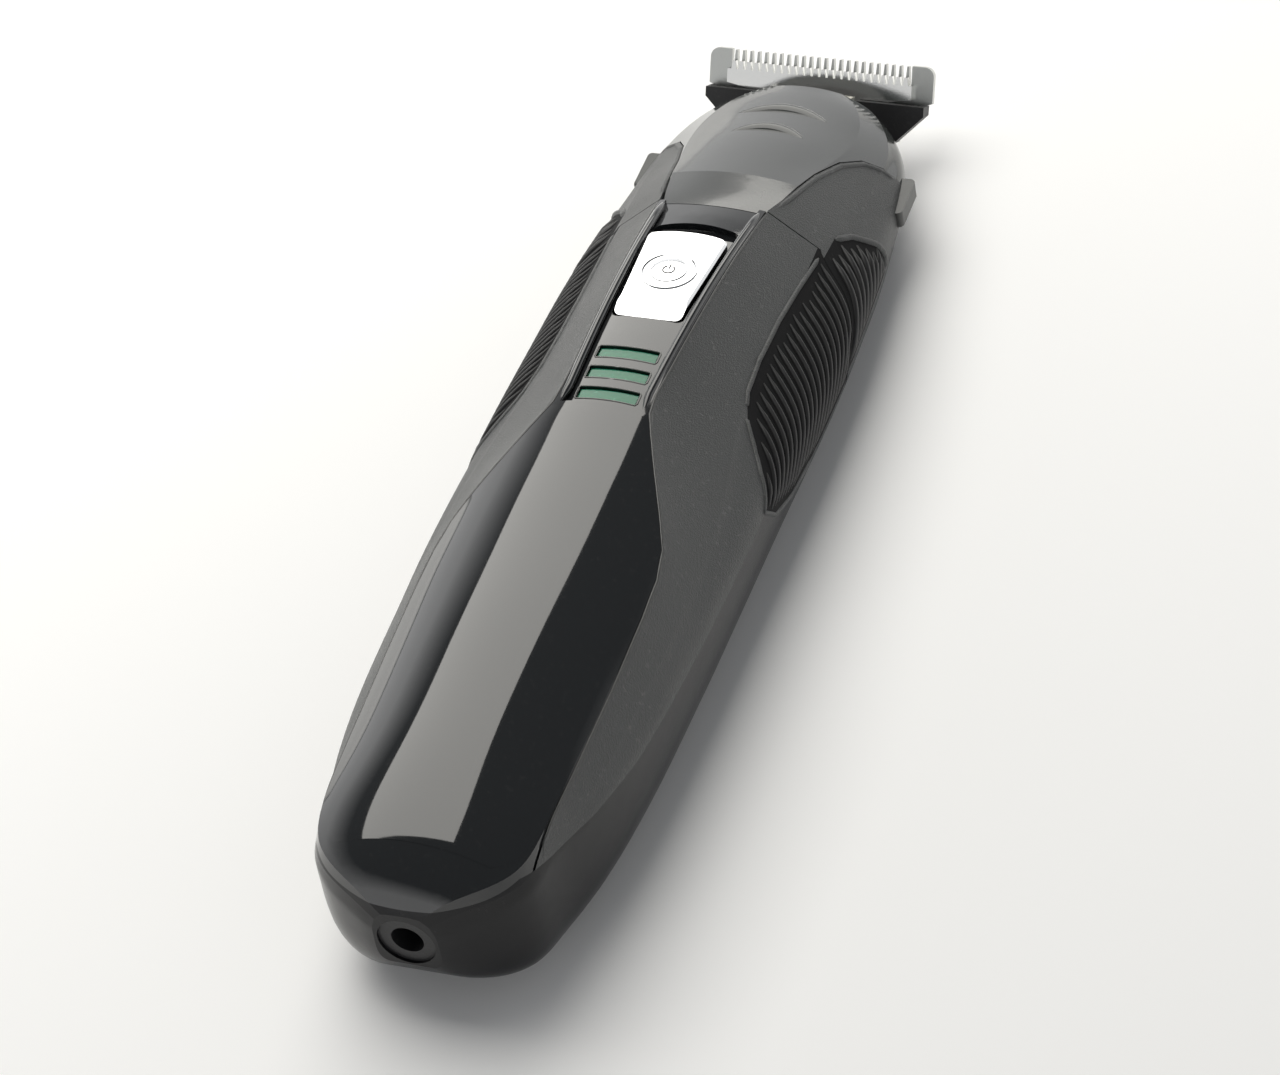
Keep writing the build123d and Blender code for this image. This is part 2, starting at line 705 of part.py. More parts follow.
with BuildPart() as light_guide:
    add(under_skin)
    add(inside, mode=Mode.SUBTRACT)
    add(guide_block.part, mode=Mode.INTERSECT)
    add(light_bars.part)
light_guide.part.label = "light_guide"
export_step(light_guide.part, "parts/light_guide.step")

with BuildPart() as slide_switch:
    with BuildSketch(bed_plane.offset(board_top)):
        with Locations((0, button_travel / 2)):
            Rectangle(2 * switch_half, stem_length + button_travel + 3)
    extrude(amount=switch_body_height)
    with BuildSketch(bed_plane.offset(board_top + switch_body_height)):
        with Locations((0, button_travel / 2)):
            Rectangle(stem_width + 2 * slide_play, stem_length + button_travel + 2 * slide_play)
    extrude(amount=-slider_well, mode=Mode.SUBTRACT)
slide_switch.part.label = "slide_switch"
export_step(slide_switch.part, "parts/slide_switch.step")

button_side = Plane(origin=bed_plane.origin, x_dir=bed_plane.y_dir, z_dir=bed_plane.x_dir)
button_low = -button_length / 2
button_face = slide_play + button_height
with BuildPart() as power_button:
    add(button_outline(0, 0).moved(Location(bed_plane.z_dir * slide_play)))
    extrude(amount=button_height)
    chamfer(power_button.faces().sort_by(Axis.Z)[-1].edges(), 0.3)
    with BuildSketch(button_side):
        with BuildLine():
            Polyline(
                (button_low + button_facet_length, button_face),
                (button_low, button_face - button_facet_drop),
                (button_low - 1, button_face - button_facet_drop), (button_low - 1, button_face + 1),
                (button_low + button_facet_length, button_face + 1), close=True,
            )
        make_face()
    extrude(amount=2 * button_top_half, both=True, mode=Mode.SUBTRACT)
power_button.part.label = "power_button"
export_step(power_button.part, "parts/power_button.step")

with BuildPart() as switch_slider:
    with BuildSketch(bed_plane.offset(slide_play)):
        Rectangle(stem_width, stem_length)
    extrude(amount=-(slide_play + pocket_floor + 0.35 + 0.7))
switch_slider.part.label = "switch_slider"
export_step(switch_slider.part, "parts/switch_slider.step")

# ---------------------------------------------------------------- head covers
head_border = [
    (7.3, -2.0), (7.3, 0.0), (8.3, 5.0), (9.4, 12.0), (10.9, 17.5), (12.8, 20.8),
    (15.2, 22.0), (22.0, 22.4), (22.0, 60.0),
]
head_border = [(x * wide, handle_length + along) for x, along in head_border]
cap_zone = seen_from_front(head_border, 5, 45, -seam / 2)
cap_hole = seen_from_front(head_border, 5, 45, seam / 2)
head_rear_z = 7.6 * deep
above_head_rear = seen_from_side(
    [(handle_length - 20, head_rear_z), (overall_length + 5, head_rear_z),
     (overall_length + 5, 45), (handle_length - 20, 45)], -40, 40,
)
head_grip_outline = [
    (slant_top[0] - 3, slant_top[1] - 0.4), (slant_top[0] + 3.6, slant_top[1] - 1.1),
    (handle_length + 6.0, 15.0 * deep), (handle_length + 8.4, 12.0 * deep),
    (handle_length + 9.0, 9.6 * deep), (handle_length + 8.0, head_rear_z), (slant_low[0] - 4, head_rear_z),
]
with BuildPart() as head_skin:
    add(outer)
    add(under_skin, mode=Mode.SUBTRACT)
    add(head_zone, mode=Mode.INTERSECT)

# The cap dips towards the line where it meets the channel's floor on the handle
dip_end = handle_length + cap_dip_length
dip_pivot = Axis((0, bottom_y + dip_end, 22.2 * deep), (1, 0, 0))
with BuildPart() as cap_dip:
    add(between(handle_length - 5, dip_end, half=12 * wide, low=15 * deep))
    add(outer.rotate(dip_pivot, degrees(atan2(channel_depth, cap_dip_length))), mode=Mode.SUBTRACT)

with BuildPart() as head_cap:
    add(head_skin.part)
    add(cap_dip.part, mode=Mode.SUBTRACT)
    add(above_head_rear, mode=Mode.INTERSECT)
    add(cap_zone, mode=Mode.INTERSECT)
head_cap.part.label = "head_cap"
export_step(head_cap.part, "parts/head_cap.step")

with BuildPart() as head_rear_cover:
    add(head_skin.part)
    add(above_head_rear, mode=Mode.SUBTRACT)
head_rear_cover.part.label = "head_rear_cover"
export_step(head_rear_cover.part, "parts/head_rear_cover.step")

head_grip_zones = {
    "left": seen_from_side(head_grip_outline, -40, -9 * wide),
    "right": seen_from_side(head_grip_outline, 9 * wide, 40),
}
for side, head_grip_zone in head_grip_zones.items():
    with BuildPart() as shoulder:
        add(head_skin.part)
        add(above_head_rear, mode=Mode.INTERSECT)
        add(half_zones[side], mode=Mode.INTERSECT)
        add(cap_hole, mode=Mode.SUBTRACT)
        add(head_grip_zone, mode=Mode.SUBTRACT)
    shoulder.part.label = f"head_shoulder_{side}"
    export_step(shoulder.part, f"parts/head_shoulder_{side}.step")

    with BuildPart() as head_grip:
        add(head_skin.part)
        add(head_grip_zone, mode=Mode.INTERSECT)
    head_grip.part.label = f"head_grip_{side}"
    export_step(head_grip.part, f"parts/head_grip_{side}.step")

catch_low, catch_high = handle_length + 16.5, handle_length + 23.5
catch_width, catch_height = 3.8, 2.4
with BuildPart() as comb_catches:
    for side in (-1, 1):
        with BuildSketch(Plane.XY.offset(8.0 * deep)):
            with Locations((side * 17.0 * wide, bottom_y + (catch_low + catch_high) / 2)):
                Rectangle(catch_width, catch_high - catch_low)
        extrude(amount=catch_height)
    fillet(comb_catches.edges().filter_by(Axis.Z), 0.7)
    fillet(comb_catches.faces().sort_by(Axis.Z)[-1].edges(), 0.4)
    add(outer, mode=Mode.SUBTRACT)
comb_catches.part.label = "comb_catches"
export_step(comb_catches.part, "parts/comb_catches.step")

# ---------------------------------------------------------------- blades
blade_tip_z = 12.6 * deep
tilt_cos, tilt_sin = cos(radians(blade_tilt)), sin(radians(blade_tilt))
blade_plane = Plane(origin=(0, tip_y, blade_tip_z), x_dir=(1, 0, 0), z_dir=(0, -tilt_sin, tilt_cos))
tooth_places = [(i - (tooth_count - 1) / 2) * tooth_pitch for i in range(tooth_count)]
blade_screw_x, blade_screw_y = 9.0, -8.4
wing_inner = tooth_places[-1] + 0.6
wing_low = -4.9
wing_corner = 1.3

with BuildPart() as fixed_blade:
    with BuildSketch(blade_plane) as outline:
        with BuildLine():
            Polyline(
                (-wing_inner, -tooth_length), (-wing_inner, 0), (-blade_half, 0), (-blade_half, wing_low),
                (-12.0, -6.2), (-11.5, -blade_back), (11.5, -blade_back), (12.0, -6.2),
                (blade_half, wing_low), (blade_half, 0), (wing_inner, 0), (wing_inner, -tooth_length),
                close=True,
            )
        make_face()
        corners = [v for v in outline.vertices() if abs(abs(v.X) - blade_half) < 0.01]
        fillet(sorted(corners, key=lambda v: -v.Y)[:2], wing_corner)
        for x in tooth_places:
            with BuildLine():
                Polyline(
                    (x - 0.36, -tooth_length - 0.2), (x - 0.13, -0.1), (x + 0.13, -0.1),
                    (x + 0.36, -tooth_length - 0.2), close=True,
                )
            make_face()
        with Locations((-blade_screw_x, blade_screw_y), (blade_screw_x, blade_screw_y)):
            Circle(screw_radius, mode=Mode.SUBTRACT)
    extrude(amount=blade_thickness)
fixed_blade.part.label = "fixed_blade"
export_step(fixed_blade.part, "parts/fixed_blade.step")

cutter_low = blade_thickness + cutter_play
cutter_high = cutter_low + cutter_thickness
cutter_root = -cutter_drop - 1.1
stem_half = 5.0
stem_end = -9.0
with BuildPart() as moving_blade:
    with BuildSketch(blade_plane.offset(cutter_low)):
        with BuildLine():
            Polyline(
                (-cutter_half, cutter_root), (-cutter_half, -4.5), (-stem_half, -6.0),
                (-stem_half, stem_end), (stem_half, stem_end), (stem_half, -6.0),
                (cutter_half, -4.5), (cutter_half, cutter_root), close=True,
            )
        make_face()
        for x in tooth_places:
            with BuildLine():
                Polyline(
                    (x - 0.4, cutter_root - 0.2), (x - 0.22, -cutter_drop), (x + 0.22, -cutter_drop),
                    (x + 0.4, cutter_root - 0.2), close=True,
                )
            make_face()
    extrude(amount=cutter_thickness)
moving_blade.part.label = "moving_blade"
export_step(moving_blade.part, "parts/moving_blade.step")

carrier_half = 4.5
carrier_height = 2.3
carrier_top, carrier_end = -5.2, -9.0
carrier_middle = (carrier_top + carrier_end) / 2
spring_height = 0.4
tongue_half = 1.0
tongue_play = 0.15
with BuildPart() as blade_carrier:
    with BuildSketch(blade_plane.offset(cutter_high)):
        with Locations((0, carrier_middle)):
            Rectangle(2 * carrier_half, carrier_top - carrier_end)
    extrude(amount=carrier_height)
    with BuildSketch(blade_plane.offset(cutter_high + 0.3)):
        with Locations((0, -7.6)):
            Rectangle(2 * (tongue_half + tongue_play), 3.6)
    extrude(amount=carrier_height, mode=Mode.SUBTRACT)
blade_carrier.part.label = "blade_carrier"
export_step(blade_carrier.part, "parts/blade_carrier.step")

# ---------------------------------------------------------------- lever and blade holder
lever_z = 8.1 * deep
pivot = overall_length - 6.6 - lever_arm
fork_start = eccentric_end + 1.6
fork_inner = 3.3
fork_outer = fork_inner + 1.5
fork_middle = (fork_inner + fork_outer) / 2
lever_low, lever_high = lever_z - lever_thickness / 2, lever_z + lever_thickness / 2
tail_thickness = 2.0
tail_low = lever_low - 0.6 - tail_thickness
lever_hub_radius = 2.4
lever_waist = 1.8
pin_head_radius, pin_head_height, pin_head_gap = 1.7, 0.7, 0.2
with BuildPart() as drive_lever:
    with BuildSketch(Plane.XY.offset(lever_low)):
        with BuildLine():
            Polyline(
                (-fork_outer, bottom_y + fork_start), (-fork_outer, bottom_y + drive_pin_end + 2.4),
                (-lever_waist, bottom_y + pivot - 4), (-lever_waist, bottom_y + pivot + 4),
                (-tongue_half, bottom_y + pivot + 6), (-tongue_half, tip_y - 6.2),
                (tongue_half, tip_y - 6.2), (tongue_half, bottom_y + pivot + 6),
                (lever_waist, bottom_y + pivot + 4), (lever_waist, bottom_y + pivot - 4),
                (fork_outer, bottom_y + drive_pin_end + 2.4), (fork_outer, bottom_y + fork_start),
                (fork_inner, bottom_y + fork_start), (fork_inner, bottom_y + drive_pin_end + 0.9),
                (-fork_inner, bottom_y + drive_pin_end + 0.9), (-fork_inner, bottom_y + fork_start),
                close=True,
            )
        make_face()
        with Locations((0, bottom_y + pivot)):
            Circle(lever_hub_radius)
            Circle(lever_pin_radius + shaft_play, mode=Mode.SUBTRACT)
    extrude(amount=lever_thickness)
    for side in (-1, 1):
        with BuildSketch(Plane.XY.offset(lever_high)):
            with Locations((side * fork_middle, bottom_y + (fork_start + drive_pin_end) / 2)):
                Rectangle(fork_outer - fork_inner, drive_pin_end - fork_start)
        extrude(amount=motor_z + 1.6 - lever_high)
drive_lever.part.label = "drive_lever"
export_step(drive_lever.part, "parts/drive_lever.step")

with BuildPart() as lever_pin:
    with Locations((0, bottom_y + pivot, tail_low)):
        Cylinder(
            lever_pin_radius, lever_high + pin_head_gap - tail_low,
            align=(Align.CENTER, Align.CENTER, Align.MIN),
        )
    with Locations((0, bottom_y + pivot, lever_high + pin_head_gap)):
        Cylinder(pin_head_radius, pin_head_height, align=(Align.CENTER, Align.CENTER, Align.MIN))
lever_pin.part.label = "lever_pin"
export_step(lever_pin.part, "parts/lever_pin.step")

plug_start = overall_length - 15.0
hull_end = handle_length + head_sections[-1][0]
with BuildPart() as holder_plug:
    add(between(plug_start, hull_end))
    with BuildSketch(Plane.XY.offset(tail_low)):
        with Locations((0, bottom_y + (pivot - 3.4 + plug_start + 2) / 2)):
            Rectangle(9.0, plug_start + 2 - pivot + 3.4)
    extrude(amount=tail_thickness)
    add(under_skin, mode=Mode.INTERSECT)

with BuildPart() as blade_holder:
    with BuildSketch(blade_plane.offset(blade_thickness)):
        with BuildLine():
            Polyline(
                (-15.6, -5.1), (-15.6, -6.4), (-11.5, -blade_back), (11.5, -blade_back),
                (15.6, -6.4), (15.6, -5.1), close=True,
            )
        make_face()
    extrude(amount=2.6)
    with BuildSketch(blade_plane.offset(blade_thickness)):
        with Locations((0, -8.5)):
            Rectangle(16.4, 4.0)
    extrude(amount=7.6)
    add(outer, mode=Mode.SUBTRACT)
    add(holder_plug.part)
    with Locations((0, bottom_y + pivot, tail_low)):
        Cylinder(lever_pin_radius, 8, mode=Mode.SUBTRACT)
    swing = cutter_travel + slide_play
    with BuildSketch(blade_plane.offset(blade_thickness)):
        with Locations((0, -4.5)):
            Rectangle(2 * (cutter_half + swing), 4.0)
        with Locations((0, -6.5)):
            Rectangle(2 * (stem_half + swing), 2 * abs(-6.5 - stem_end) + 0.6)
    extrude(amount=cutter_play + cutter_thickness + slide_play, mode=Mode.SUBTRACT)
    with BuildSketch(blade_plane.offset(blade_thickness)):
        with Locations((0, carrier_middle + 0.6)):
            Rectangle(2 * (carrier_half + swing), carrier_top - carrier_end + 1.9)
    extrude(amount=cutter_thickness + carrier_height + 1.4, mode=Mode.SUBTRACT)
    with BuildSketch(Plane.XY.offset(lever_low - slide_play)):
        with Locations((0, bottom_y + overall_length - 9.0)):
            Rectangle(2 * (tongue_half + swing + 0.3), 16.0)
    extrude(amount=lever_thickness + 2 * slide_play, mode=Mode.SUBTRACT)
    with BuildSketch(blade_plane):
        with Locations((-blade_screw_x, blade_screw_y), (blade_screw_x, blade_screw_y)):
            Circle(screw_radius)
    extrude(amount=3.4, mode=Mode.SUBTRACT)
blade_holder.part.label = "blade_holder"
export_step(blade_holder.part, "parts/blade_holder.step")

with BuildPart() as blade_screws:
    with BuildSketch(blade_plane):
        with Locations((-blade_screw_x, blade_screw_y), (blade_screw_x, blade_screw_y)):
            Circle(screw_radius)
    extrude(amount=3.2)
    with BuildSketch(blade_plane):
        with Locations((-blade_screw_x, blade_screw_y), (blade_screw_x, blade_screw_y)):
            Circle(1.9)
    extrude(amount=-0.6)
blade_screws.part.label = "blade_screws"
export_step(blade_screws.part, "parts/blade_screws.step")

with BuildPart() as blade_spring:
    with BuildSketch(blade_plane.offset(cutter_high + carrier_height + 0.12)):
        with Locations((-3.3, -7.8), (3.3, -7.8)):
            Rectangle(1.2, 3.1)
    extrude(amount=spring_height)
blade_spring.part.label = "blade_spring"
export_step(blade_spring.part, "parts/blade_spring.step")
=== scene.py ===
"""Looks of a cordless beard trimmer with its T-blade head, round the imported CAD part, in metres."""
from math import asin, cos, pi, radians, sin

import bpy
import numpy as np
from mathutils import Matrix, Vector


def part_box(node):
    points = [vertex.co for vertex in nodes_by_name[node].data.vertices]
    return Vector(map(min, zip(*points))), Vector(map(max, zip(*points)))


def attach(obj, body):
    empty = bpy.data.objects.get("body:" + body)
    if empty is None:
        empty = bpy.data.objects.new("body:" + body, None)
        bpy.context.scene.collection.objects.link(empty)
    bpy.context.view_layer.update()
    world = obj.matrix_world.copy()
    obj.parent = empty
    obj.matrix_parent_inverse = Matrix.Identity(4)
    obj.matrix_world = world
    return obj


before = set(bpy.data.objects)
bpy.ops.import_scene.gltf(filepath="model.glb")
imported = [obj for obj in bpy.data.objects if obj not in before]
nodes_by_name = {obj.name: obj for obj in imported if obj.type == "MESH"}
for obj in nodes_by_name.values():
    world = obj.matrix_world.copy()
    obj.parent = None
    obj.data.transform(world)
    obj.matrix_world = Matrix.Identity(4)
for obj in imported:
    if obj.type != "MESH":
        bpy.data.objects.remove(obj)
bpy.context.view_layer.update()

scene = bpy.context.scene

# ---------------------------------------------------------------- front panel
# The front panel is one moulding of black ABS with a piano-gloss surface and a sunk channel for
# the switch. It lies on the frame behind it. Fine wipe marks are all that breaks its gloss.


def new_group(name, inputs, outputs):
    """An empty shader node group with named sockets, and its two end nodes."""
    group = bpy.data.node_groups.new(name, "ShaderNodeTree")
    for label, kind, value in inputs:
        socket = group.interface.new_socket(label, in_out="INPUT", socket_type=kind)
        if value is not None:
            socket.default_value = value
    for label, kind in outputs:
        group.interface.new_socket(label, in_out="OUTPUT", socket_type=kind)
    return group, group.nodes.new("NodeGroupInput"), group.nodes.new("NodeGroupOutput")


# Wipe marks and thin dust: a large soft noise that shifts roughness and shade a little.
wear_group, wear_in, wear_out = new_group(
    "handling_wear",
    [("Vector", "NodeSocketVector", None), ("Color", "NodeSocketColor", (0.1, 0.1, 0.1, 1)),
     ("Worn Color", "NodeSocketColor", (0.2, 0.2, 0.2, 1)), ("Roughness", "NodeSocketFloat", 0.3),
     ("Change", "NodeSocketFloat", 0.1)],
    [("Color", "NodeSocketColor"), ("Roughness", "NodeSocketFloat")],
)
wear_cloud = wear_group.nodes.new("ShaderNodeTexNoise")
wear_cloud.inputs["Scale"].default_value = 90
wear_cloud.inputs["Detail"].default_value = 6
wear_speck = wear_group.nodes.new("ShaderNodeTexNoise")
wear_speck.inputs["Scale"].default_value = 1400
wear_speck.inputs["Detail"].default_value = 2
wear_speck_cut = wear_group.nodes.new("ShaderNodeMapRange")
wear_speck_cut.inputs["From Min"].default_value = 0.62
wear_speck_cut.inputs["From Max"].default_value = 0.8
wear_sum = wear_group.nodes.new("ShaderNodeMath")
wear_sum.operation = "MULTIPLY_ADD"
wear_mix = wear_group.nodes.new("ShaderNodeMix")
wear_mix.data_type = "RGBA"
wear_amount = wear_group.nodes.new("ShaderNodeMath")
wear_amount.operation = "MULTIPLY"
for start, end in (
    (wear_in.outputs["Vector"], wear_cloud.inputs["Vector"]),
    (wear_in.outputs["Vector"], wear_speck.inputs["Vector"]),
    (wear_speck.outputs["Fac"], wear_speck_cut.inputs["Value"]),
    (wear_cloud.outputs["Fac"], wear_sum.inputs[0]),
    (wear_in.outputs["Change"], wear_sum.inputs[1]),
    (wear_in.outputs["Roughness"], wear_sum.inputs[2]),
    (wear_cloud.outputs["Fac"], wear_amount.inputs[0]),
    (wear_speck_cut.outputs["Result"], wear_amount.inputs[1]),
    (wear_amount.outputs["Value"], wear_mix.inputs["Factor"]),
    (wear_in.outputs["Color"], wear_mix.inputs["A"]),
    (wear_in.outputs["Worn Color"], wear_mix.inputs["B"]),
    (wear_mix.outputs["Result"], wear_out.inputs["Color"]),
    (wear_sum.outputs["Value"], wear_out.inputs["Roughness"]),
):
    wear_group.links.new(start, end)

# Spark-eroded mould grain: two sizes of noise as a height, stretched if the vector is.
grain_group, grain_in, grain_out = new_group(
    "mould_grain",
    [("Vector", "NodeSocketVector", None), ("Scale", "NodeSocketFloat", 3000)],
    [("Height", "NodeSocketFloat")],
)
grain_fine = grain_group.nodes.new("ShaderNodeTexNoise")
grain_fine.inputs["Detail"].default_value = 3
grain_pits = grain_group.nodes.new("ShaderNodeTexVoronoi")
grain_join = grain_group.nodes.new("ShaderNodeMath")
grain_join.operation = "ADD"
for start, end in (
    (grain_in.outputs["Vector"], grain_fine.inputs["Vector"]),
    (grain_in.outputs["Scale"], grain_fine.inputs["Scale"]),
    (grain_in.outputs["Vector"], grain_pits.inputs["Vector"]),
    (grain_in.outputs["Scale"], grain_pits.inputs["Scale"]),
    (grain_fine.outputs["Fac"], grain_join.inputs[0]),
    (grain_pits.outputs["Distance"], grain_join.inputs[1]),
    (grain_join.outputs["Value"], grain_out.inputs["Height"]),
):
    grain_group.links.new(start, end)


def finish(name, color, worn, roughness, change, grain, depth, stretch=(1, 1, 1), **sockets):
    """A moulded or ground surface: wear over its colour, grain of a size (mm) and depth (mm)."""
    material = bpy.data.materials.new(name)
    material.use_nodes = True
    tree = material.node_tree
    shader = tree.nodes["Principled BSDF"]
    place = tree.nodes.new("ShaderNodeTexCoord")
    turn = tree.nodes.new("ShaderNodeMapping")
    turn.inputs["Scale"].default_value = stretch
    wear = tree.nodes.new("ShaderNodeGroup")
    wear.node_tree = wear_group
    wear.inputs["Color"].default_value = (*color, 1)
    wear.inputs["Worn Color"].default_value = (*worn, 1)
    wear.inputs["Roughness"].default_value = roughness
    wear.inputs["Change"].default_value = change
    rough = tree.nodes.new("ShaderNodeGroup")
    rough.node_tree = grain_group
    rough.inputs["Scale"].default_value = 1000 / grain
    bump = tree.nodes.new("ShaderNodeBump")
    bump.inputs["Distance"].default_value = depth / 1000
    tree.links.new(place.outputs["Object"], turn.inputs["Vector"])
    tree.links.new(turn.outputs["Vector"], wear.inputs["Vector"])
    tree.links.new(turn.outputs["Vector"], rough.inputs["Vector"])
    tree.links.new(wear.outputs["Color"], shader.inputs["Base Color"])
    tree.links.new(wear.outputs["Roughness"], shader.inputs["Roughness"])
    tree.links.new(rough.outputs["Height"], bump.inputs["Height"])
    tree.links.new(bump.outputs["Normal"], shader.inputs["Normal"])
    for socket, value in sockets.items():
        shader.inputs[socket.replace("_", " ")].default_value = value
    return material


def paint(material, *names):
    """Gives CAD nodes this material."""
    for name in names:
        nodes_by_name[name].material_slots[0].material = material


gloss_black = finish(
    "gloss_black", (0.010, 0.011, 0.012), (0.03, 0.03, 0.03), 0.03, 0.05, 1.2, 0.0006,
    Coat_Weight=0.6, Coat_Roughness=0.03,
)
paint(gloss_black, "front_panel")

# ---------------------------------------------------------------- side panels
# The two side panels are dark grey ABS with a fine spark-eroded grain that sparkles in the light.
textured_grey = finish(
    "textured_grey", (0.046, 0.048, 0.048), (0.14, 0.14, 0.14), 0.30, 0.2, 0.20, 0.06,
)
paint(textured_grey, "side_panel_left", "side_panel_right", "head_shoulder_left", "head_shoulder_right")

# ---------------------------------------------------------------- rails and edge beads
# The gloss panel has a raised rail along each side of the switch channel, and the textured panels
# have a thin rounded lip where they meet the gloss panel. All are part of the mouldings.
bpy.context.view_layer.update()


above_all, beside_all, side_reach = 0.05, 0.03, 0.02
near_shift = 0.0002                   # tried on both sides where a seam lies right under a point


def straight_down(names, across, along):
    """The highest point of these CAD nodes above one place on the floor, and the normal there."""
    found = []
    for name in names:
        for shift in (0, -near_shift, near_shift):
            start = Vector((across + shift, along, above_all))
            hit, place, normal, face = nodes_by_name[name].ray_cast(start, Vector((0, 0, -1)))
            if hit:
                found.append((place.z, place, normal))
    if not found:
        raise ValueError(f"nothing of {names} lies under {across:.4f}, {along:.4f}")
    highest = max(found, key=lambda f: f[0])
    return highest[1], highest[2]


def along_path(corners, step):
    """Points every step or less on straight lines through these corners."""
    points = []
    for start, end in zip(corners[:-1], corners[1:]):
        count = max(1, round((Vector(end) - Vector(start)).length / step))
        points += [Vector(start).lerp(Vector(end), i / count) for i in range(count)]
    return points + [Vector(corners[-1])]


def beads(name, lines, body, material):
    """Round beads along lines of (place, radius), as one mesh that rides on a body."""
    curve = bpy.data.curves.new(name, "CURVE")
    curve.dimensions = "3D"
    curve.bevel_depth = 1.0
    curve.bevel_resolution = 3
    curve.use_fill_caps = True
    for line, closed in lines:
        spline = curve.splines.new("POLY")
        spline.points.add(len(line) - 1)
        spline.use_cyclic_u = closed
        for point, (place, radius) in zip(spline.points, line):
            point.co = (*place, 1)
            point.radius = radius
    piece = bpy.data.objects.new(name, curve)
    scene.collection.objects.link(piece)
    bpy.ops.object.select_all(action="DESELECT")
    bpy.context.view_layer.objects.active = piece
    piece.select_set(True)
    bpy.ops.object.convert(target="MESH")
    piece = bpy.context.active_object
    bpy.ops.object.mode_set(mode="EDIT")
    bpy.ops.mesh.select_all(action="SELECT")
    bpy.ops.mesh.remove_doubles(threshold=0.000002)
    bpy.ops.mesh.normals_make_consistent(inside=False)
    bpy.ops.object.mode_set(mode="OBJECT")
    bpy.ops.object.shade_smooth_by_angle(angle=radians(50))
    piece.data.materials.clear()
    piece.data.materials.append(material)
    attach(piece, body)
    return piece


def laid_on(names, path, side, radius, sink, taper):
    """A bead's line on a surface seen from above, thin at its two ends."""
    line = []
    for i, (across, along) in enumerate(path):
        place, normal = straight_down(names, side * across, along)
        from_end = min(i, len(path) - 1 - i)
        share = min(1.0, 0.25 + from_end / taper)
        line.append((place - sink * normal, radius * share))
    return line


# The panel's edge from the head down to the bottom, as (across, along) on the right side
panel_edge = [(0.0073, 0.0365), (0.0060, -0.0030), (0.00625, -0.0060), (0.0074, -0.0091), (0.0101, -0.0157),
              (0.0122, -0.0208), (0.0136, -0.0245), (0.0143, -0.0290), (0.01445, -0.0350), (0.01435, -0.0465),
              (0.0140, -0.0590), (0.0137, -0.0680), (0.0135, -0.0710)]
rail_inset, rail_radius = 0.00050, 0.00055
rail_path = along_path([(x - rail_inset, y) for x, y in panel_edge[:3]], 0.001)
beads(
    "channel_rails",
    [(laid_on(["front_panel"], rail_path, side, rail_radius, sink=0.00025, taper=3), False)
     for side in (-1, 1)],
    "handle", gloss_black,
)
lip_offset, lip_radius = 0.00030, 0.00020
lip_path = along_path([(x + lip_offset, y) for x, y in panel_edge], 0.001)
lip_grey = finish("lip_grey", (0.045, 0.046, 0.045), (0.1, 0.1, 0.1), 0.16, 0.1, 0.4, 0.002)
beads(
    "side_panel_lips",
    [(laid_on([f"side_panel_{word}", "front_panel"], lip_path, side, lip_radius, sink=0.00008,
              taper=3), False)
     for side, word in ((-1, "left"), (1, "right"))],
    "handle", lip_grey,
)

# A clear skin lies over the plain part of the panel. Its height is a smooth sum of powers that is
# fitted to the panel, so that straight lights look straight in it. Operators can't give a surface
# this even, so its points are placed by the formula.
skin_low, skin_high, skin_lift, skin_thickness = -0.0750, -0.0068, 0.00006, 0.00020
skin_middle, skin_half = (skin_low + skin_high) / 2, (skin_high - skin_low) / 2
skin_inset = 0.00012
skin_edge = panel_edge[:-1] + [(0.0132, -0.0705), (0.0124, -0.0725), (0.0112, -0.0740), (0.0096, -0.0751)]
edge_along = [y for x, y in reversed(skin_edge)]
edge_across = [x for x, y in reversed(skin_edge)]
skin_unit = 0.0145


def powers(share_across, share_along):
    """Even powers across the panel times all powers along it."""
    return [share_across ** (2 * i) * share_along**j for i in range(4) for j in range(11)]


terms, heights = [], []
for j in range(61):
    share_along = j / 30 - 1
    along = skin_middle + skin_half * share_along
    reach = float(np.interp(along, edge_along, edge_across)) - 0.0003
    for i in range(-9, 10):
        place, normal = straight_down(["front_panel"], reach * i / 10, along)
        terms.append(powers(place.x / skin_unit, share_along))
        heights.append(place.z)
weights = np.linalg.lstsq(np.array(terms), np.array(heights), rcond=None)[0]
bpy.ops.object.select_all(action="DESELECT")
bpy.ops.mesh.primitive_grid_add(x_subdivisions=40, y_subdivisions=150, size=2, location=(0, 0, 0))
skin = bpy.context.active_object
skin.name = "panel_skin"
for vertex in skin.data.vertices:
    share_across, share_along = vertex.co.x, vertex.co.y
    along = skin_middle + skin_half * share_along
    across = share_across * (float(np.interp(along, edge_along, edge_across)) - skin_inset)
    height = float(np.dot(powers(across / skin_unit, share_along), weights))
    vertex.co = (across, along, height + skin_lift)
skin_solid = skin.modifiers.new("solid", "SOLIDIFY")
skin_solid.thickness = skin_thickness
skin_solid.offset = -1
bpy.ops.object.modifier_apply(modifier="solid")
bpy.ops.object.shade_smooth_by_angle(angle=radians(40))
skin.data.materials.append(gloss_black)
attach(skin, "handle")

# ---------------------------------------------------------------- grips
# Soft rubber pads moulded over the side panels. Each has a row of ribs that lie parallel to the
# line where the head comes off, and a raised rim along its front edge.
grip_rubber = finish(
    "grip_rubber", (0.006, 0.006, 0.0065), (0.02, 0.02, 0.02), 0.6, 0.2, 0.15, 0.02, Specular_IOR_Level=0.15,
)
rib_rubber = finish("rib_rubber", (0.010, 0.010, 0.0105), (0.04, 0.04, 0.04), 0.30, 0.15, 0.15, 0.01)
paint(grip_rubber, "grip_left", "grip_right", "head_grip_left", "head_grip_right")


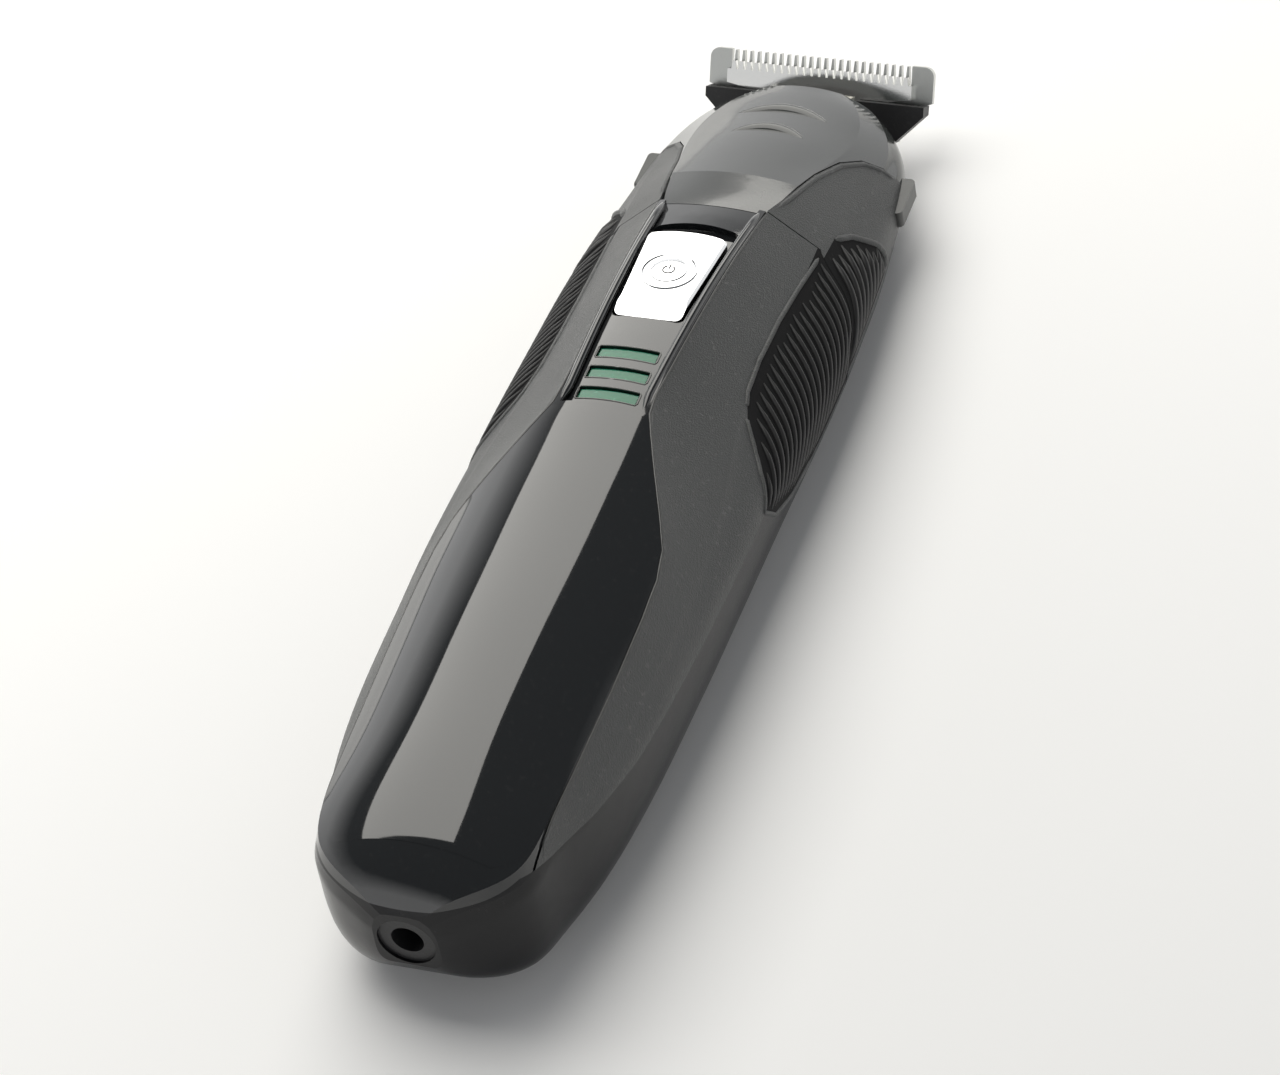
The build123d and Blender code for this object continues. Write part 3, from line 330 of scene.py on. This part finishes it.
# The parting line goes down from this height, and runs this far along for each unit of height
parting_bend, parting_lean = 0.018, 1.244


def from_side(name, along, height, side):
    """Where a line across the trimmer meets the outside of a CAD node, and the normal there."""
    start = Vector((side * beside_all, along, height))
    direction = Vector((-side, 0, 0))
    hit, place, normal, face = nodes_by_name[name].ray_cast(start, direction, distance=side_reach)
    return (place, normal) if hit else None


def ribs_on(name, side, first, pitch, count, radius, margin, sink):
    """Lines of ribs on one grip, side by side from a first one at the grip's top edge."""
    top, step, steps = 0.0205, 0.0005, 34
    lines = []
    for rib in range(count):
        line = []
        for i in range(steps):
            height = top - i * step
            along = first + rib * pitch - (parting_bend - height) * parting_lean
            around = [(along + margin, height), (along - margin, height), (along, height + margin),
                      (along, height - margin)]
            found = from_side(name, along, height, side)
            if found and all(from_side(name, *place, side) for place in around):
                line.append(found[0] - sink * found[1])
        if len(line) >= 5:
            last = len(line) - 1
            shares = [min(1.0, 0.3 + 0.35 * min(i, last - i)) for i in range(last + 1)]
            lines.append(([(place, radius * share) for place, share in zip(line, shares)], False))
    return lines


def rim_on(names, side, corners, radius, sink):
    """A bead along the edge of a grip, given as (along, height) corners."""
    line = []
    for along, height in along_path(corners, 0.0008):
        found = [from_side(name, along, height, side) for name in names]
        found = [f for f in found if f]
        if found:
            place, normal = max(found, key=lambda f: abs(f[0].x))
            line.append((place - sink * normal, radius))
    thin_end = 0.4 * radius
    line[0] = (line[0][0], thin_end)
    line[-1] = (line[-1][0], thin_end)
    return [(line, False)]


grip_front_edge = [
    (0.0352, 0.0179), (0.0280, 0.0189), (0.0210, 0.0197), (0.0130, 0.0202), (0.0070, 0.0202),
    (0.0030, 0.0192), (-0.0030, 0.0166), (-0.0070, 0.0139), (-0.0040, 0.0106), (0.0020, 0.0082),
    (0.0100, 0.0070),
]
head_grip_edge = [(0.0402, 0.0168), (0.0428, 0.0152), (0.0452, 0.0122), (0.0459, 0.0098), (0.0450, 0.0080)]
for word, side in (("left", -1), ("right", 1)):
    beads(
        f"grip_ribs_{word}",
        ribs_on(f"grip_{word}", side, first=0.0352, pitch=-0.00175, count=26, radius=0.00036,
                margin=0.0009, sink=0.00002),
        "handle", rib_rubber,
    )
    beads(
        f"grip_rim_{word}",
        rim_on([f"grip_{word}", f"side_panel_{word}"], side, grip_front_edge, radius=0.00034, sink=0.0001),
        "handle", textured_grey,
    )
    beads(
        f"head_grip_ribs_{word}",
        ribs_on(f"head_grip_{word}", side, first=0.0388, pitch=0.0019, count=9, radius=0.00050,
                margin=0.0007, sink=0.00005),
        "head", rib_rubber,
    )
    beads(
        f"head_grip_rim_{word}",
        rim_on([f"head_grip_{word}", f"head_shoulder_{word}"], side, head_grip_edge, radius=0.0005,
               sink=0.00015),
        "head", textured_grey,
    )

# ---------------------------------------------------------------- rear housing
# The handle's back shell and the head's rear cover are plain black ABS, with a little less gloss
# than the front. Screws from behind hold the shell; the cover closes round the blade holder.
housing_black = finish(
    "housing_black", (0.006, 0.006, 0.007), (0.02, 0.02, 0.02), 0.16, 0.12, 0.8, 0.002,
    Specular_IOR_Level=0.3,
)
paint(housing_black, "rear_housing", "head_rear_cover")

# ---------------------------------------------------------------- head cap
# The cap is one graphite moulding with a clear coat. It sits between the two shoulders and closes
# over the blade holder, and has two crescent ridges for the thumb.
graphite_gloss = finish(
    "graphite_gloss", (0.035, 0.038, 0.037), (0.06, 0.06, 0.06), 0.10, 0.08, 0.5, 0.002, Coat_Weight=0.4,
    Coat_Roughness=0.05,
)
paint(graphite_gloss, "head_cap")


def crescent(peak, half_chord, rise, radius, sink):
    """A ridge's line: an arc across the cap that swells to the middle."""
    bend = (half_chord**2 + rise**2) / (2 * rise)
    reach = asin(half_chord / bend)
    line = []
    for i in range(41):
        turn = reach * (i / 20 - 1)
        place, normal = straight_down(["head_cap"], bend * sin(turn), peak - bend * (1 - cos(turn)))
        line.append((place - sink * normal, radius * (0.12 + 0.88 * cos(pi / 2 * (i / 20 - 1)))))
    return line


beads(
    "thumb_ridges",
    [(crescent(peak=0.0652, half_chord=0.0088, rise=0.0038, radius=0.0012, sink=0.00062), False),
     (crescent(peak=0.0591, half_chord=0.0070, rise=0.0035, radius=0.0012, sink=0.00062), False)],
    "head", graphite_gloss,
)

# The shoulders rise to a rounded rail along the cap's border
cap_edge = [(0.0076, 0.0385), (0.0083, 0.0420), (0.0094, 0.0490), (0.0109, 0.0545), (0.0128, 0.0578),
            (0.0152, 0.0590), (0.0168, 0.0592)]
cap_rail_path = along_path([(x + 0.0006, y - 0.0004) for x, y in cap_edge], 0.0008)
beads(
    "shoulder_rails",
    [(laid_on([f"head_shoulder_{word}", "head_cap"], cap_rail_path, side, 0.00042, sink=0.0002,
              taper=3), False)
     for side, word in ((-1, "left"), (1, "right"))],
    "head", textured_grey,
)

# ---------------------------------------------------------------- painted gap shade
# A thin black bead lies in the gap between the head and the handle: painted shade for the shadow deep in
# the narrow gap. It runs along the head's edge and comes off with it; the sealing ring inside stays on the
# handle.
parting_along, parting_low, parting_high = 0.0369, 0.0095, 0.0178
gap_shade_radius, gap_shade_sink, gap_shade_shift = 0.00022, 0.00022, 0.00045
head_side_names = {
    -1: ["head_shoulder_left", "head_grip_left"],
    1: ["head_shoulder_right", "head_grip_right"],
}
gap_shade_sides = {}
for side in (-1, 1):
    gap_shade_sides[side] = []
    for i in range(19):
        height = parting_low + (parting_high - parting_low) * i / 18
        along = parting_along - (parting_high - height) * parting_lean
        found = [from_side(name, along + gap_shade_shift, height, side) for name in head_side_names[side]]
        found = [f for f in found if f]
        if found:
            place, normal = found[0]
            gap_shade_sides[side].append(place - Vector((0, gap_shade_shift, 0)) - gap_shade_sink * normal)
gap_shade_top = []
for i in range(-26, 27):
    names = ["head_cap", "head_shoulder_left", "head_shoulder_right"]
    place, normal = straight_down(names, 0.0005 * i, parting_along + gap_shade_shift)
    gap_shade_top.append(place - Vector((0, gap_shade_shift, 0)) - gap_shade_sink * normal)
gap_shade_line = gap_shade_sides[-1] + gap_shade_top + gap_shade_sides[1][::-1]
# painted shade: a near-black finish for the bead that stands in for the shadow in the gap
gap_shade_black = finish("gap_shade_black", (0.004, 0.004, 0.004), (0.01, 0.01, 0.01), 0.6, 0.1, 0.3, 0.01)
beads(
    "parting_gap_shade",
    [([(place, gap_shade_radius) for place in gap_shade_line], False)],
    "head", gap_shade_black,
)

# ---------------------------------------------------------------- power button
# The button is a chromed moulding that slides in the channel. A dial stands on it: a ring, a dish
# and a domed centre with an on-off sign, all part of the same moulding.
chrome = finish(
    "button_chrome", (0.80, 0.81, 0.82), (0.6, 0.6, 0.6), 0.04, 0.06, 1.0, 0.0004, Metallic=1.0,
)
paint(chrome, "power_button")
button_low, button_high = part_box("power_button")
dial_place, dial_normal = straight_down(["power_button"], 0, (button_low.y + button_high.y) / 2 + 0.0002)
dial_tilt = Vector((0, 0, 1)).rotation_difference(dial_normal).to_matrix().to_4x4()
ring_radius, ring_height = 0.0037, 0.00024
bpy.ops.object.select_all(action="DESELECT")
bpy.ops.mesh.primitive_cylinder_add(vertices=96, radius=ring_radius, depth=ring_height, location=(0, 0, 0))
dial = bpy.context.active_object
dial.name = "button_dial"
bpy.ops.object.mode_set(mode="EDIT")
bpy.ops.mesh.select_mode(type="FACE")
bpy.ops.mesh.select_all(action="DESELECT")
bpy.ops.object.mode_set(mode="OBJECT")
for face in dial.data.polygons:
    face.select = face.normal.z > 0.9
bpy.ops.object.mode_set(mode="EDIT")
dial_steps = [(0.00022, 0.0), (0.00022, -0.00014), (0.00085, 0.0), (0.00010, 0.00014), (0.0008, 0.00005)]
for inset, lift in dial_steps:
    bpy.ops.mesh.inset(thickness=inset)
    bpy.ops.transform.translate(value=(0, 0, lift))
bpy.ops.object.mode_set(mode="OBJECT")
dial_bevel = dial.modifiers.new("bevel", "BEVEL")
dial_bevel.width = 0.00004
dial_bevel.segments = 2
bpy.ops.object.modifier_apply(modifier="bevel")
dial.matrix_world = Matrix.Translation(dial_place + 0.00006 * dial_normal) @ dial_tilt
bpy.ops.object.transform_apply(location=True, rotation=True, scale=True)
bpy.ops.object.shade_smooth_by_angle(angle=radians(25))
dial.data.materials.append(chrome)
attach(dial, "power_switch")

sign_grey = finish("sign_grey", (0.05, 0.05, 0.055), (0.1, 0.1, 0.1), 0.3, 0.1, 0.3, 0.001)
sign_frame = Matrix.Translation(dial_place + (ring_height / 2 + 0.00011) * dial_normal) @ dial_tilt
sign_radius, sign_line = 0.00075, 0.00010
sign_arc = []
for i in range(31):
    turn = radians(125 + 290 * i / 30)
    sign_arc.append((sign_frame @ Vector((sign_radius * cos(turn), sign_radius * sin(turn), 0)), sign_line))
sign_bar = [(sign_frame @ Vector((0, y, 0)), sign_line) for y in (0.0002, 0.0010)]
beads("on_off_sign", [(sign_arc, False), (sign_bar, False)], "power_switch", sign_grey)

# ---------------------------------------------------------------- light windows
# One green clear moulding behind the panel shows through three slots in the channel's floor. A
# thin bead runs round each slot; its light grey is a painted highlight for the shine on the slot's edge.
green_lens = finish(
    "green_lens", (0.005, 0.16, 0.075), (0.06, 0.4, 0.22), 0.08, 0.1, 0.6, 0.01, Subsurface_Weight=0.3,
)
paint(green_lens, "light_guide")

window_half, window_rise, window_pitch = 0.00412, 0.00112, 0.0038
highest_window = 0.0040
# painted highlight: the beads round the slots are light grey to stand in for the shine on the slot edges
painted_edge_highlight = finish("painted_edge_highlight", (0.16, 0.16, 0.155), (0.2, 0.2, 0.2), 0.10, 0.1, 0.5, 0.001)
window_edge_highlights = []
for i in range(3):
    middle = highest_window - i * window_pitch
    corners = [(-window_half, middle - window_rise), (window_half, middle - window_rise),
               (window_half, middle + window_rise), (-window_half, middle + window_rise),
               (-window_half, middle - window_rise)]
    path = along_path(corners, 0.0004)[:-1]
    line = []
    for across, along in path:
        place, normal = straight_down(["front_panel"], across, along)
        line.append((place, 0.00010))
    window_edge_highlights.append((line, True))
beads("window_edge_highlights", window_edge_highlights, "handle", painted_edge_highlight)

# ---------------------------------------------------------------- inner frame and blade holder
# The frame, the motor mount, the socket, the switch and the blade holder are plain black plastic,
# matt from the mould. The covers lie on the frame, and the rear housing's screws go into it.
inner_black = finish("inner_black", (0.012, 0.012, 0.013), (0.04, 0.04, 0.04), 0.35, 0.2, 0.3, 0.01)
paint(inner_black, "front_frame", "charging_socket", "motor_mount", "slide_switch", "switch_slider",
      "blade_holder")

# ---------------------------------------------------------------- blades
# The fixed blade is stamped steel, ground along the teeth and screwed to the holder. The moving
# blade slides on it, and the land below the teeth is polished bright.
blade_steel = finish(
    "blade_steel", (0.56, 0.57, 0.55), (0.42, 0.42, 0.41), 0.24, 0.15, 0.25, 0.004, (12, 1, 1), Metallic=1.0,
)
paint(blade_steel, "fixed_blade")
polished_steel = finish(
    "polished_steel", (0.90, 0.90, 0.88), (0.7, 0.7, 0.7), 0.05, 0.08, 0.3, 0.001, (1, 8, 8), Metallic=1.0,
)
paint(polished_steel, "moving_blade")
blade_tilt = radians(58.0)
blade_frame = Matrix.Translation((0, 0.0810, 0.0126)) @ Matrix.Rotation(blade_tilt, 4, "X")
land_half, land_top, land_low, land_thickness = 0.0133, -0.0028, -0.0054, 0.00012
bpy.ops.object.select_all(action="DESELECT")
bpy.ops.mesh.primitive_cube_add(size=1, location=(0, 0, 0))
land = bpy.context.active_object
land.name = "polished_land"
bpy.ops.object.mode_set(mode="EDIT")
bpy.ops.transform.resize(value=(2 * land_half, land_top - land_low, land_thickness))
bpy.ops.transform.translate(value=(0, (land_top + land_low) / 2, -land_thickness / 4))
bpy.ops.mesh.select_all(action="DESELECT")
bpy.ops.object.mode_set(mode="OBJECT")
for face in land.data.polygons:
    face.select = face.normal.y < -0.9
bpy.ops.object.mode_set(mode="EDIT")
bpy.ops.transform.resize(value=(0.90, 1, 1))
bpy.ops.object.mode_set(mode="OBJECT")
land_bevel = land.modifiers.new("bevel", "BEVEL")
land_bevel.width = 0.00003
land_bevel.segments = 2
bpy.ops.object.modifier_apply(modifier="bevel")
land.matrix_world = blade_frame
bpy.ops.object.transform_apply(location=True, rotation=True, scale=True)
land.data.materials.append(polished_steel)
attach(land, "head")

# ---------------------------------------------------------------- comb catches
# Two small grey plastic lugs, fixed to the sides of the head, that hold a comb when one is fitted.
catch_grey = finish("catch_grey", (0.05, 0.052, 0.05), (0.1, 0.1, 0.1), 0.3, 0.2, 0.3, 0.005)
paint(catch_grey, "comb_catches")

# ---------------------------------------------------------------- drive, cell and board
# What is inside: a steel motor screwed to its mount, an eccentric and a lever of natural nylon,
# and a cell, a board and a socket with nickelled brass contacts.
nylon = finish("nylon", (0.72, 0.70, 0.64), (0.5, 0.48, 0.42), 0.38, 0.15, 0.4, 0.006)
paint(nylon, "motor_end_cap", "drive_eccentric", "blade_carrier", "drive_lever")
plated_steel = finish(
    "plated_steel", (0.56, 0.57, 0.58), (0.4, 0.4, 0.38), 0.28, 0.2, 0.4, 0.004, (1, 6, 1), Metallic=1.0,
)
paint(plated_steel, "housing_screws", "motor_can", "motor_screws", "motor_shaft", "lever_pin", "blade_screws",
      "blade_spring")
contact_metal = finish(
    "contact_metal", (0.72, 0.63, 0.42), (0.5, 0.42, 0.28), 0.22, 0.15, 0.4, 0.003, Metallic=1.0,
)
paint(contact_metal, "socket_contacts", "cell_contacts", "motor_terminals")
bush_bronze = finish("bush_bronze", (0.45, 0.28, 0.14), (0.25, 0.15, 0.08), 0.4, 0.2, 0.2, 0.01, Metallic=1.0)
paint(bush_bronze, "shaft_bush")
cell_sleeve = finish("cell_sleeve", (0.03, 0.10, 0.30), (0.06, 0.14, 0.34), 0.25, 0.15, 1.0, 0.005)
paint(cell_sleeve, "cell")
seal_rubber = finish("seal_rubber", (0.015, 0.015, 0.015), (0.05, 0.05, 0.05), 0.55, 0.2, 0.2, 0.01)
paint(seal_rubber, "seal_ring")
board_green = finish("board_green", (0.015, 0.11, 0.05), (0.03, 0.16, 0.08), 0.3, 0.15, 0.6, 0.01)
paint(board_green, "circuit_board")
lamp_clear = finish("lamp_clear", (0.7, 0.8, 0.72), (0.6, 0.7, 0.6), 0.15, 0.1, 0.5, 0.002)
paint(lamp_clear, "indicator_lamps")

# ---------------------------------------------------------------- floor, lights and camera
# The floor is a wide sheet of pale paper. The sky is white round the horizon and dark overhead, and
# one long soft light makes the streak on the front panel.
bpy.ops.object.select_all(action="DESELECT")
bpy.ops.mesh.primitive_plane_add(size=6, location=(0, 0, 0))
floor = bpy.context.active_object
floor.name = "floor"
floor_material = bpy.data.materials.new("pale_paper")
floor_material.use_nodes = True
paper = floor_material.node_tree.nodes["Principled BSDF"]
paper.inputs["Base Color"].default_value = (0.92, 0.92, 0.92, 1)
paper.inputs["Roughness"].default_value = 0.9
paper.inputs["Specular IOR Level"].default_value = 0.1
floor.data.materials.append(floor_material)

world = bpy.data.worlds.new("studio")
scene.world = world
world.use_nodes = True
sky = world.node_tree
background = sky.nodes["Background"]
direction = sky.nodes.new("ShaderNodeTexCoord")
split = sky.nodes.new("ShaderNodeSeparateXYZ")
ramp = sky.nodes.new("ShaderNodeValToRGB")
sky.links.new(direction.outputs["Generated"], split.inputs["Vector"])
sky.links.new(split.outputs["Z"], ramp.inputs["Fac"])
sky.links.new(ramp.outputs["Color"], background.inputs["Color"])
ramp.color_ramp.elements[0].position = 0.24
ramp.color_ramp.elements[0].color = (1.0, 1.0, 1.0, 1)
ramp.color_ramp.elements[1].position = 0.50
ramp.color_ramp.elements[1].color = (0.12, 0.125, 0.13, 1)
background.inputs["Strength"].default_value = 1.2


def softbox(name, place, aim, width, length, radiance, tint=(1, 1, 1)):
    """A flat rectangular light of an even brightness that faces a point."""
    lamp = bpy.data.lights.new(name, "AREA")
    lamp.shape = "RECTANGLE"
    lamp.size = width
    lamp.size_y = length
    lamp.energy = radiance * pi * width * length
    lamp.color = tint
    holder = bpy.data.objects.new(name, lamp)
    scene.collection.objects.link(holder)
    holder.location = place
    holder.rotation_euler = (Vector(place) - Vector(aim)).to_track_quat("Z", "Y").to_euler()


softbox(
    "long_light", place=(-0.33, 0.60, 0.60), aim=(-0.33, 0.60, 0), width=0.75, length=1.4, radiance=3.3,
    tint=(1.0, 0.98, 0.93),
)

view_azimuth, view_elevation, view_roll = radians(26.7), radians(43.6), radians(-11.4)
view_distance = 0.5882
aim_point = Vector((0.00098, -0.00458, 0.00387))
toward = Vector((sin(view_azimuth) * cos(view_elevation), -cos(view_azimuth) * cos(view_elevation),
                 sin(view_elevation)))
camera_data = bpy.data.cameras.new("camera")
camera_data.lens = 131.5
camera_data.sensor_width = 36
camera_data.clip_start = 0.01
camera = bpy.data.objects.new("camera", camera_data)
scene.collection.objects.link(camera)
camera.location = aim_point + view_distance * toward
level = Matrix.Rotation(view_azimuth, 4, "Z") @ Matrix.Rotation(pi / 2 - view_elevation, 4, "X")
camera.rotation_euler = (level @ Matrix.Rotation(view_roll, 4, "Z")).to_euler()
scene.camera = camera
scene.view_settings.view_transform = "Standard"
